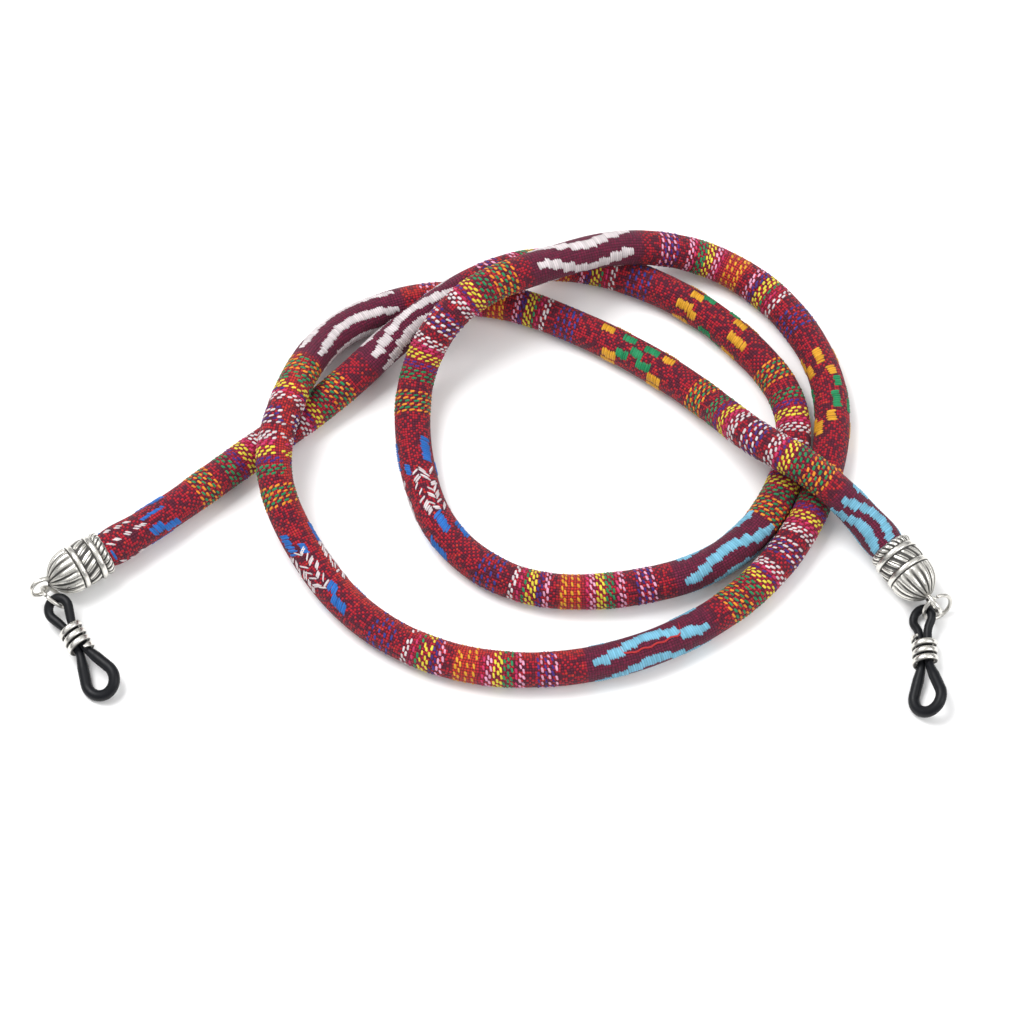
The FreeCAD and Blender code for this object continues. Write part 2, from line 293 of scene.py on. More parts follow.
def room(limit):
    r = np.full((NS, NA), limit)
    for _ in range(5):
        for a0 in range(0, NS, 400):
            sl = slice(a0, min(a0 + 400, NS))
            c, u, v = CEN[sl], UP[sl], SIDE[sl]
            near = np.abs(coarse_s[None, :] - S_AX[sl, None]) < 22
            gap = np.linalg.norm(c[:, None] - coarse[None], axis=-1)
            gap[near] = 99
            busy = gap.min(1) < 8.5
            if not busy.any():
                continue
            idx = np.where(busy)[0]
            p = c[idx][:, None] + r[sl][idx][..., None] * (np.cos(ANG)[None, :, None] * u[idx][:, None] + np.sin(ANG)[None, :, None] * v[idx][:, None])
            for q, row in enumerate(idx):
                cand = coarse[(gap[row] < 14)]
                d = np.sqrt(((p[q][:, None] - cand[None]) ** 2).sum(-1)).min(1)
                over = np.maximum(0, r[a0 + row] + 0.03 - d)
                r[a0 + row] -= 0.6 * over
    return r


ROOM = room(3.55)
# the soft cord varies a little in thickness and is fuller outside its caps
wave = 0.035 * np.sin(S_AX * 0.21 + 1.0) + 0.03 * np.sin(S_AX * 0.087 + 2.3) + 0.02 * np.sin(S_AX * 0.53)
mouth_l, mouth_r = 5.0, LENGTH - 5.0
full = np.zeros(NS)
for mouth, sign in ((mouth_l, 1), (mouth_r, -1)):
    d = (S_AX - mouth) * sign
    full += np.where(d > 0, 0.30 * np.exp(-((d - 3.0) / 3.0) ** 2) * np.clip(d / 1.2, 0, 1), 0)
    wave *= np.clip(np.where(d < 6, (d - 0.3) / 6, 1), 0, 1)
base_r = RAD + wave + full
inside = (S_AX < mouth_l + 0.3) | (S_AX > mouth_r - 0.3)
base_r[inside] = 3.10
flat = 0.05 * np.cos(2 * ANG)[None, :]
R_GRID = np.minimum(base_r[:, None] - np.where(inside[:, None], 0, flat), ROOM)
# blur the grid a little so that squeezed places look soft
for _ in range(4):
    R_GRID[1:-1] = np.minimum(R_GRID[1:-1], 0.25 * R_GRID[:-2] + 0.5 * R_GRID[1:-1] + 0.25 * R_GRID[2:])
TOP_GRID = ROOM


def grid_at(grid, s, a):
    x = np.clip(s / LENGTH * (NS - 1), 0, NS - 1.001)
    y = (a % (2 * np.pi)) / (2 * np.pi) * NA
    i, j = x.astype(int), y.astype(int) % NA
    fx, fy = x - i, y - np.floor(y)
    k = (j + 1) % NA
    return (grid[i, j] * (1 - fx) * (1 - fy) + grid[i + 1, j] * fx * (1 - fy) + grid[i, k] * (1 - fx) * fy + grid[i + 1, k] * fx * fy)


# ------------------------------------------------------------------ bands
# Start along the cord (mm) and stretch of each woven group.
G1 = [(24.0, 1.04), (152.0, 1.0), (274.0, 1.0), (399.7, 1.02), (528.0, 0.87), (641.0, 0.96)]
G2 = [(90.5, 1.02), (209.0, 0.94), (337.0, 1.0), (466.0, 1.0), (585.5, 0.9)]
WHITE = [(65.5, 86.5), (312.0, 332.0), (559.0, 581.0)]
SKY = [(187.0, 204.5), (438.5, 460.0), (677.0, 692.5)]
BLUE = [(3.0, 20.0), (246.0, 270.0), (505.0, 523.5)]
GOLD = [(131.0, 147.5), (376.0, 394.5), (619.5, 635.5)]

COL = {
    "orange": srgb(240, 148, 28), "green": srgb(18, 142, 88), "yellow": srgb(238, 220, 62),
    "purple": srgb(66, 36, 128), "pink": srgb(214, 44, 104), "palepink": srgb(238, 168, 200),
    "white": srgb(228, 218, 220), "navy": srgb(52, 58, 150), "blue": srgb(30, 112, 200),
    "sky": srgb(126, 194, 222), "gold": srgb(232, 168, 34),
}
floats = {k: [] for k in COL}      # each float: s, angle, half length (rad), half width (mm), slant (mm), height (mm)
PITCH = 0.62
SLOTS = 14
DASH = math.pi / SLOTS


def ring(color, s, parity, height=0.15):
    for k in range(SLOTS):
        a = (k + 0.5 * parity) * 2 * math.pi / SLOTS + rng.normal(0, 0.035)
        if rng.random() < 0.55 * reverse_side(s, a):
            continue
        floats[color].append((s + rng.normal(0, 0.05), a, DASH * 0.80 * rng.uniform(0.80, 1.12), 0.215 * rng.uniform(0.85, 1.12), rng.uniform(0.10, 0.34), height))


def rows(colors, s0, k, start_parity=0, pitch=PITCH):
    for n, c in enumerate(colors):
        if c:
            ring(c, s0 + n * pitch * k, (n + start_parity) % 2)


for s0, k in G1:
    og = ["orange", "green", "orange", "green", "orange", "green", "orange"]
    rows(og, s0 + 0.3, k)
    rows(["green", "green", "green"], s0 + 6.6 * k, k, pitch=0.8)
    rows(["purple", "purple"], s0 + 9.1 * k, k)
    rows(["yellow", "yellow", "yellow"], s0 + 10.6 * k, k)
    rows(["pink", "pink"], s0 + 12.5 * k, k, 1)
    rows(["white", "white", "white"], s0 + 13.7 * k, k)
    rows(["white", "purple", "white", "purple", "white", "purple"], s0 + 17.0 * k, k)
    rows(["white", "white", "white"], s0 + 22.2 * k, k)
    rows(["pink"], s0 + 23.9 * k, k, 1)
    rows(["purple"], s0 + 24.5 * k, k)
    rows(["yellow", "yellow", "yellow"], s0 + 25.1 * k, k, 1)
    rows(["green", "green", "green"], s0 + 27.2 * k, k, pitch=0.8)
    rows(og, s0 + 29.8 * k, k)
for s0, k in G2:
    rows(["palepink", "purple", "palepink", "purple", "palepink", "purple"], s0 + 0.3, k)
    rows(["palepink", "palepink"], s0 + 6.0 * k, k)
    rows(["pink"], s0 + 7.2 * k, k)
    rows(["green", "green", "green"], s0 + 8.0 * k, k)
    rows(["yellow", "yellow", "yellow"], s0 + 9.7 * k, k)
    rows(["palepink", "palepink", "pink"], s0 + 11.6 * k, k)
    rows(["gold", None, "gold", None, "gold", "gold"], s0 + 14.4 * k, k)
    rows(["palepink", "palepink"], s0 + 20.0 * k, k)
    rows(["purple", "purple"], s0 + 21.2 * k, k, 1)
    rows(["yellow", "yellow", "yellow"], s0 + 22.4 * k, k)
    rows(["green"], s0 + 24.3 * k, k, 1)
    rows(["pink"], s0 + 25.2 * k, k)
    rows(["white", "white"], s0 + 26.2 * k, k)
    rows(["navy", None, "navy", None, "navy", None, "navy"], s0 + 29.6 * k, k)


def patch(color, s0, s1, phi, half=17.0, slant=0.25, fine=0.42, ragged=0.12):
    """Fine floats side by side from s0 to s1, phi degrees round from the upper side."""
    for x in np.arange(s0 + fine / 2, s1, fine):
        a = facing(x) - math.radians(phi) + rng.normal(0, 0.035)
        floats[color].append((x + rng.normal(0, 0.03), a, math.radians(half) * rng.uniform(1 - ragged, 1 + ragged), 0.235, slant, 0.20 * rng.uniform(0.85, 1.15)))


AT = (1.2, 3.7, 6.5, 9.5, 12.5, 15.5, 18.4)
RISE = (3, -10, -38, -58, -50, -30, -12)
FALL = (5, 20, 42, 56, 50, 36, 14)


def arches(color, s0, s1, steps, turn=0.0, count=4, apart=88.0, size=1.0, wide=23):
    """Bands of long floats that climb and fall in small steps round the cord."""
    k = (s1 - s0) / 19.6
    for arch in range(count):
        for x in np.arange(0.3, 19.5, 0.41 / k):
            stepped = math.floor(x / 2.4) * 2.4 + 1.2
            phi = size * (0.2 * np.interp(x, AT, steps) + 0.8 * np.interp(stepped, AT, steps)) + turn + apart * arch
            half = (0.68 * wide if x < 1.6 or x > 18.2 else wide) * rng.uniform(0.88, 1.08)
            z = s0 + x * k
            floats[color].append((z, facing(z) - math.radians(phi + rng.normal(0, 1.2)), math.radians(half), 0.225, 0.22, 0.19 * rng.uniform(0.85, 1.15)))


arches("white", 65.8, 85.8, FALL, 0, 5, 74)
arches("white", 312.0, 331.6, RISE)
arches("white", 559.0, 581.0, FALL, -20, 5, 72, 0.6, 18)
arches("sky", 185.5, 204.0, RISE, 34)
arches("sky", 438.5, 460.0, RISE, 10)
arches("sky", 677.0, 692.0, FALL, -8, 5, 74)
for turn in (0, 128, 236):
    patch("blue", 5.0, 6.0, -25 + turn, 22)
    for x, phi in ((5.6, 12), (7.0, 12), (8.4, 48), (9.2, 12), (10.2, 50), (11.2, 14), (12.4, 10), (6.4, 60)):
        patch("white", x, x + 1.0, phi + turn, 8, 0.9)
    patch("blue", 13.5, 16.0, -30 + turn, 21, 0.7)
    patch("blue", 16.0, 19.0, -47 + turn, 21, 0.7)
    patch("blue", 13.0, 17.5, 27 + turn, 7, 0.5)
    patch("blue", 246.0, 250.0, -68 + turn, 19, 0.8)
    patch("blue", 249.0, 253.0, -15 + turn, 19, 0.8)
    for q, x in enumerate(np.arange(253.7, 263.0, 1.35)):
        for phi, tilt in ((-48, 1.6), (-18, -1.6), (12, 1.6)):
            if rng.random() < 0.82:
                patch("white", x + rng.uniform(-0.25, 0.25), x + rng.uniform(0.5, 0.95), phi + turn + rng.uniform(-7, 7), rng.uniform(10, 16), tilt * rng.uniform(0.3, 1.1))
    patch("blue", 264.0, 269.0, -42 + turn, 21, -0.8)
    patch("blue", 262.0, 264.0, 35 + turn, 12, -0.8)
    patch("blue", 505.0, 508.5, 22 + turn, 19, 0.8)
    patch("blue", 508.5, 510.5, 0 + turn, 19, 0.8)
    for q, x in enumerate(np.arange(510.5, 518.5, 1.3)):
        for phi, tilt in ((2, 1.6), (32, -1.6), (62, 1.6)):
            if rng.random() < 0.82:
                patch("white", x + rng.uniform(-0.25, 0.25), x + rng.uniform(0.5, 0.95), phi + turn + rng.uniform(-7, 7), rng.uniform(10, 16), tilt * rng.uniform(0.3, 1.1))
    patch("blue", 519.0, 523.0, 45 + turn, 19, -0.8)
    patch("blue", 518.0, 520.0, 3 + turn, 13, -0.8)
for turn in (0, 182):
    # third gold group: green cross with gold corners
    for lo, hi, phi in ((624.5, 627, -18), (624.5, 627, 48), (627, 629.5, 8), (629, 632, -18), (629, 632, 45)):
        patch("green", lo, hi, phi + turn, 19)
    for lo, hi, phi in ((622, 625, -42), (620, 622.5, 47), (632, 635, -42), (633, 635, 47), (622, 625, 100), (632, 635, 100)):
        patch("gold", lo, hi, phi + turn, 19)
    for lo, hi, phi in ((131, 134.5, -10), (134, 135.5, -28), (132.5, 135, 45), (143, 147, -7), (142, 144.5, 53), (131, 134.5, 100), (143, 146.5, 100)):
        patch("gold", lo, hi, phi + turn, 19)
    for lo, hi, phi in ((134.5, 137, 62), (137, 140, -62), (140, 142, 80)):
        patch("green", lo, hi, phi + turn, 17)
    for lo, hi, phi in ((376, 379, 7), (378.5, 381, -50), (380, 381.5, 32), (389, 391, -2), (391, 394, -50), (376, 379, 100), (390, 393, 100)):
        patch("gold", lo, hi, phi + turn, 19)
    for lo, hi, phi in ((382, 384, 40), (385, 388.5, 20), (383, 386, -78), (386, 388.5, 78)):
        patch("green", lo, hi, phi + turn, 17)

# ------------------------------------------------------------------ cord cover
solid = np.zeros(NS)
for s0, s1 in WHITE + SKY:
    solid = np.maximum(solid, np.clip((S_AX - s0 + 1.5) / 0.6, 0, 1) * np.clip((s1 + 1.5 - S_AX) / 0.6, 0, 1))
warm = np.zeros(NS)
for s0, k in G2:
    warm = np.maximum(warm, np.clip((S_AX - s0 - 13.6 * k) / 0.5, 0, 1) * np.clip((s0 + 18.2 * k - S_AX) / 0.5, 0, 1))
rosy = np.zeros(NS)
for s0, k in G1 + G2:
    for lo, hi in ((8.0, 14.5), (22.5, 27.0)):
        rosy = np.maximum(rosy, 0.7 * np.clip((S_AX - s0 - lo * k) / 0.8, 0, 1) * np.clip((s0 + hi * k - S_AX) / 0.8, 0, 1))

keep = slice(None, None, 2)
s_idx = np.unique(np.r_[np.arange(0, NS, 2), NS - 1])
sg, ag = np.meshgrid(S_AX[s_idx], ANG, indexing="ij")
pts = surface(sg, ag, R_GRID[s_idx])
n_s = len(s_idx)
verts = pts.reshape(-1, 3)
faces = list(grid_faces(n_s, NA))
# closed ends
ends = np.array([CEN[0], CEN[-1]])
verts = np.vstack([verts, ends])
b0, b1 = len(verts) - 2, len(verts) - 1
for j in range(NA):
    faces.append((j, b0, (j + 1) % NA))
    o = (n_s - 1) * NA
    faces.append((o + (j + 1) % NA, b1, o + j))
# the seam column needs its own uv; the angle is the uv's v and the wrap is fixed below
uvs = np.stack([np.r_[sg.ravel(), 0, LENGTH], np.r_[ag.ravel() / (2 * np.pi), 0, 0]], 1)
cover = new_mesh("cord_cover_weave", verts, faces, uv=uvs, attrs={
    "solid": np.r_[np.repeat(solid[s_idx], NA), 0, 0],
    "warm": np.r_[np.repeat(warm[s_idx], NA), 0, 0],
    "rosy": np.r_[np.repeat(rosy[s_idx], NA), 0, 0],
    "reverse": np.r_[reverse_side(sg, ag).ravel(), 0, 0]})
# let the uv run on past the last column instead of back across the cord
lay = cover.data.uv_layers["UVMap"]
uvbuf = np.empty(len(cover.data.loops) * 2)
lay.data.foreach_get("uv", uvbuf)
uvbuf = uvbuf.reshape(-1, 2)
nq = (n_s - 1) * NA
quad = uvbuf[:nq * 4].reshape(-1, 4, 2)
wrap = (quad[:, :, 1].max(1) - quad[:, :, 1].min(1)) > 0.5
q = quad[wrap]
q[:, :, 1] = np.where(q[:, :, 1] < 0.5, q[:, :, 1] + 1.0, q[:, :, 1])
quad[wrap] = q
uvbuf[:nq * 4] = quad.reshape(-1, 2)
lay.data.foreach_set("uv", uvbuf.ravel())


def weave_material():
    m = Nodes("woven_ground")
    u, v = m.uv()
    # 38 fine columns of stitches round the cord, 0.50 mm along it, the two yarns checked
    wob = m.math("MULTIPLY", m.math("SUBTRACT", m.noise(650, 1), 0.5), 1.3)
    rv = m.math("MULTIPLY", v, 38.0)
    cell = m.math("FLOOR", rv)
    fv = m.math("FRACT", rv)
    odd = m.math("MODULO", cell, 2.0)
    ru = m.math("ADD", m.math("DIVIDE", u, 0.50), wob)
    row = m.math("FLOOR", ru)
    fu = m.math("FRACT", ru)
    check = m.math("MODULO", m.math("ADD", cell, row), 2.0)
    hu = m.math("SINE", m.math("MULTIPLY", fu, math.pi))
    hv = m.math("SINE", m.math("MULTIPLY", fv, math.pi))
    h = m.math("POWER", m.math("MULTIPLY", hu, hv), 0.45)
    comb = m.node("ShaderNodeCombineXYZ", X=m.math("ADD", row, 0.5), Y=m.math("ADD", cell, 0.5), Z=0.0)
    white = m.t.nodes.new("ShaderNodeTexWhiteNoise")
    white.noise_dimensions = "3D"
    m.t.links.new(comb.outputs[0], white.inputs["Vector"])
    rnd = white.outputs["Value"]
    red = srgb(186, 26, 44)
    dark = srgb(84, 16, 42)
    # gap: painted shade between the stitches, a darker tone of the yarn
    gap = srgb(58, 10, 28)
    # every other row of stitches is the darker yarn
    pick = m.math("GREATER_THAN", m.math("ADD", m.math("MULTIPLY", rnd, 0.72), m.math("MULTIPLY", check, 0.34)), 0.53)
    yarn = m.mix(pick, dark, red)
    yarn = m.mix(m.math("MULTIPLY", rnd, 0.30), yarn, srgb(150, 20, 40))
    orange = m.math("GREATER_THAN", rnd, 0.975)
    yarn = m.mix(m.math("MULTIPLY", orange, 0.5), yarn, srgb(214, 72, 44))
    yarn = m.mix(m.math("MULTIPLY", m.attr("warm"), 0.70), yarn, srgb(214, 60, 36))
    yarn = m.mix(m.math("MULTIPLY", m.attr("rosy"), 0.5), yarn, srgb(186, 24, 66))
    patchy = m.math("MULTIPLY", m.attr("reverse"), m.math("ADD", 0.25, m.math("MULTIPLY", m.math("GREATER_THAN", rnd, 0.45), 0.6)))
    yarn = m.mix(patchy, yarn, srgb(206, 52, 40))
    plain = m.mix(m.math("MULTIPLY", rnd, 0.8), srgb(88, 20, 50), srgb(128, 32, 66))
    yarn = m.mix(m.attr("solid"), yarn, plain)
    # stitches fade into painted shade where their bump height falls away
    col = m.mix(m.math("SMOOTH_MIN", h, 1.0, 0.2), gap, yarn)
    fibre = m.noise(9000, 2)
    hh = m.math("ADD", h, m.math("MULTIPLY", fibre, 0.22))
    nrm = m.bump(hh, 0.9, 0.00020)
    return m.done(color=col, rough=m.math("ADD", 0.68, m.math("MULTIPLY", rnd, 0.14)), normal=nrm, Sheen_Weight=0.05, Sheen_Roughness=0.45, Specular_IOR_Level=0.3)


cover.data.materials.append(weave_material())


def yarn_material(name, color):
    m = Nodes("yarn_" + name)
    u, v = m.uv()
    ply = m.math("SINE", m.math("ADD", m.math("MULTIPLY", u, 30.0), m.math("MULTIPLY", v, 9.0)))
    rnd = m.attr("rnd")
    # dark: tone for the painted shade at float borders and for the fibre flecks
    dark = tuple(c * 0.45 for c in color)
    light = tuple(min(1, c * 1.12 + 0.015) for c in color)
    col = m.mix(rnd, tuple(c * 0.80 for c in color), light)
    # edge attribute: painted shade towards each float's border where it sinks into the ground weave
    edge_shade = m.attr("edge_shade")
    col = m.mix(m.math("MULTIPLY", edge_shade, 0.8), col, dark)
    fib = m.noise(7000, 2)
    hh = m.math("ADD", m.math("MULTIPLY", ply, 0.5), m.math("MULTIPLY", fib, 0.7))
    col = m.mix(m.math("MULTIPLY", fib, 0.25), col, dark)
    return m.done(color=col, rough=0.62, normal=m.bump(hh, 0.5, 0.00012), Sheen_Weight=0.06, Sheen_Roughness=0.4, Specular_IOR_Level=0.35)


NL, NW = 7, 4
tl = np.linspace(-1, 1, NL)
tw = np.linspace(-1, 1, NW)
thread_pieces = []
for cname, items in floats.items():
    items = [f for f in items if mouth_l + 0.5 < f[0] < mouth_r - 0.5]
    if not items:
        continue
    F = np.array(items)
    s = F[:, 0, None, None] + tw[None, None, :] * F[:, 3, None, None] * np.sqrt(np.clip(1.06 - tl[None, :, None] ** 4, 0, 1)) + tl[None, :, None] * F[:, 4, None, None] * 0.5
    a = F[:, 1, None, None] + tl[None, :, None] * F[:, 2, None, None] + 0 * s
    prof = np.sqrt(np.clip(1 - 0.92 * tw[None, None, :] ** 2, 0, 1)) * np.clip(1 - np.abs(tl[None, :, None]) ** 4, 0, 1) ** 0.6
    lift = F[:, 5, None, None] * prof - 0.05
    base = grid_at(R_GRID, s, a)
    top = grid_at(TOP_GRID, s, a)
    rr = np.minimum(base + lift, np.maximum(top, base - 0.05))
    P = surface(s, a, rr).reshape(-1, 3)
    n = len(F)
    one = grid_faces(NL, NW, wrap_m=False)
    fc = (one[None] + (np.arange(n) * NL * NW)[:, None, None]).reshape(-1, 4)
    rnd = np.repeat(rng.random(n), NL * NW)
    # painted shade mask, 1 at the float's border
    edge_shade = np.broadcast_to(1 - prof, s.shape).ravel()
    uv = np.stack([np.broadcast_to(tw[None, None, :] * 0.4, s.shape).ravel(), (tl[None, :, None] * np.degrees(F[:, 2, None, None]) * 0.05 + 0 * s).ravel()], 1)
    ob = new_mesh("threads_" + cname, P, fc, uv=uv, attrs={"rnd": rnd, "edge_shade": edge_shade})
    ob.data.materials.append(yarn_material(cname, COL[cname]))
    thread_pieces.append(ob)
    print("threads", cname, n, "floats", len(fc) * 2, "triangles")

# seam: one thin red thread along the cord's underside, seen where it twists up
show = np.clip((S_AX - 441) / 3.0, 0, 1) * np.clip((457 - S_AX) / 3.0, 0, 1)
show = show * show * (3 - 2 * show)
seam_a = FACING + math.pi * (1 - show) + 0.10 * show
sel = np.arange(int(8 / STEP), NS - int(8 / STEP), 2)
n_r = 6
ph = np.linspace(0, 2 * np.pi, n_r, endpoint=False)
ss = S_AX[sel][:, None] + 0 * ph[None]
wob = seam_a[sel] + 0.05 * np.sin(S_AX[sel] * 2.4)
base = np.minimum(grid_at(R_GRID, S_AX[sel], wob) + 0.10, grid_at(TOP_GRID, S_AX[sel], wob) - 0.02)
aa = wob[:, None] + 0.055 * np.cos(ph)[None]
rr = base[:, None] + 0.13 * np.sin(ph)[None]
P = surface(ss, aa, rr).reshape(-1, 3)
seam = new_mesh("cord_seam_thread", P, grid_faces(len(sel), n_r), uv=np.stack([ss.ravel(), (0 * ss + ph[None]).ravel()], 1), attrs={"rnd": np.zeros(P.shape[0]) + 0.5, "edge_shade": np.zeros(P.shape[0])})
seam.data.materials.append(yarn_material("seam", srgb(196, 40, 44)))
thread_pieces.append(seam)

# filling of the cord
ci = np.unique(np.r_[np.arange(0, NS, 6), NS - 1])
ca = np.linspace(0, 2 * np.pi, 14, endpoint=False)
cs, cang = np.meshgrid(S_AX[ci], ca, indexing="ij")
rc = np.minimum(2.60, grid_at(R_GRID, cs, cang) - 0.30)
cp = surface(cs, cang, rc).reshape(-1, 3)
cf = list(grid_faces(len(ci), 14))
cp = np.vstack([cp, CEN[0], CEN[-1]])
for j in range(14):
    cf.append((j, len(cp) - 2, (j + 1) % 14))
    o = (len(ci) - 1) * 14
    cf.append((o + (j + 1) % 14, len(cp) - 1, o + j))
core = new_mesh("cord_filling_yarn", cp, cf, uv=np.stack([np.r_[cs.ravel(), 0, 0], np.r_[cang.ravel(), 0, 0]], 1))
m = Nodes("filling_yarn")
u, v = m.uv()
tw_ = m.math("SINE", m.math("ADD", m.math("MULTIPLY", u, 3.0), m.math("MULTIPLY", v, 8.0)))
core.data.materials.append(m.done(color=m.mix(m.math("MULTIPLY", tw_, 0.5), srgb(224, 218, 206), srgb(184, 176, 160)), rough=0.9, normal=m.bump(m.math("ADD", tw_, m.noise(4000, 2)), 0.6, 0.0002)))
thread_pieces.append(core)


# ------------------------------------------------------------------ metals
def silver_material(name, dark=0.92):
    m = Nodes(name)
    # cavity attribute: painted shade in grooves, hollows and between parts, partly the silver's real patina
    cav = m.attr("cavity_shade_patina")
    n1 = m.noise(900, 5, 0.6)
    n2 = m.noise(4200, 3, 0.6)
    bright = m.mix(n1, srgb(208, 205, 197), srgb(242, 240, 234))
    # near-black tone: painted shade in recesses, partly real patina
    patina_and_shade = m.mix(n2, srgb(18, 17, 17), srgb(44, 41, 40))
    k = m.math("MINIMUM", m.math("MAXIMUM", m.math("MULTIPLY", m.math("ADD", cav, m.math("MULTIPLY", m.math("SUBTRACT", n1, 0.5), 0.4)), 1.7), 0.0), 1.0)
    col = m.mix(m.math("MULTIPLY", k, dark), bright, patina_and_shade)
    rough = m.math("ADD", m.math("ADD", 0.20, m.math("MULTIPLY", n1, 0.14)), m.math("MULTIPLY", k, 0.35))
    return m.done(color=col, rough=rough, metal=m.math("SUBTRACT", 1.0, m.math("MULTIPLY", k, 0.5)), normal=m.bump(m.math("ADD", n1, m.math("MULTIPLY", n2, 0.5)), 0.35, 0.00012))


silver = silver_material("antique_silver")
wire_metal = silver_material("plated_wire", 0.85)


def place(local, origin, z, x):
    z = unit(z)
    x = np.asarray(x, float)
    x = unit(x - z * (x @ z))
    y = np.cross(z, x)
    return np.asarray(origin) + SHIFT + local[..., 0:1] * x + local[..., 1:2] * y + local[..., 2:3] * z


def tube(points, radius_fn, sides, closed, normal, name, caps=True, flat=None):
    """Tube along local points; radius_fn(t)->(ra, rb) in the frame (normal, side)."""
    P = np.asarray(points, float)
    n = len(P)
    T = (np.roll(P, -1, 0) - np.roll(P, 1, 0)) if closed else np.gradient(P, axis=0)
    T /= np.linalg.norm(T, axis=1)[:, None]
    N = np.asarray(normal(P, T), float)
    N = N - T * (N * T).sum(1)[:, None]
    N /= np.linalg.norm(N, axis=1)[:, None]
    B = np.cross(T, N)
    ph = np.linspace(0, 2 * np.pi, sides, endpoint=False)
    t = np.linspace(0, 1, n)
    ra, rb = radius_fn(t)
    V = P[:, None] + ra[:, None, None] * np.cos(ph)[None, :, None] * N[:, None] + rb[:, None, None] * np.sin(ph)[None, :, None] * B[:, None]
    verts = V.reshape(-1, 3)
    if closed:
        f = grid_faces(n, sides)
        o = (n - 1) * sides
        last = [(o + j, o + (j + 1) % sides, (j + 1) % sides, j) for j in range(sides)]
        faces = list(f) + last
    else:
        faces = list(grid_faces(n, sides))
        verts = np.vstack([verts, P[0], P[-1]])
        a, b = len(verts) - 2, len(verts) - 1
        for j in range(sides):
            faces.append((j, a, (j + 1) % sides))
            faces.append(((n - 1) * sides + (j + 1) % sides, b, (n - 1) * sides + j))
    return verts, faces


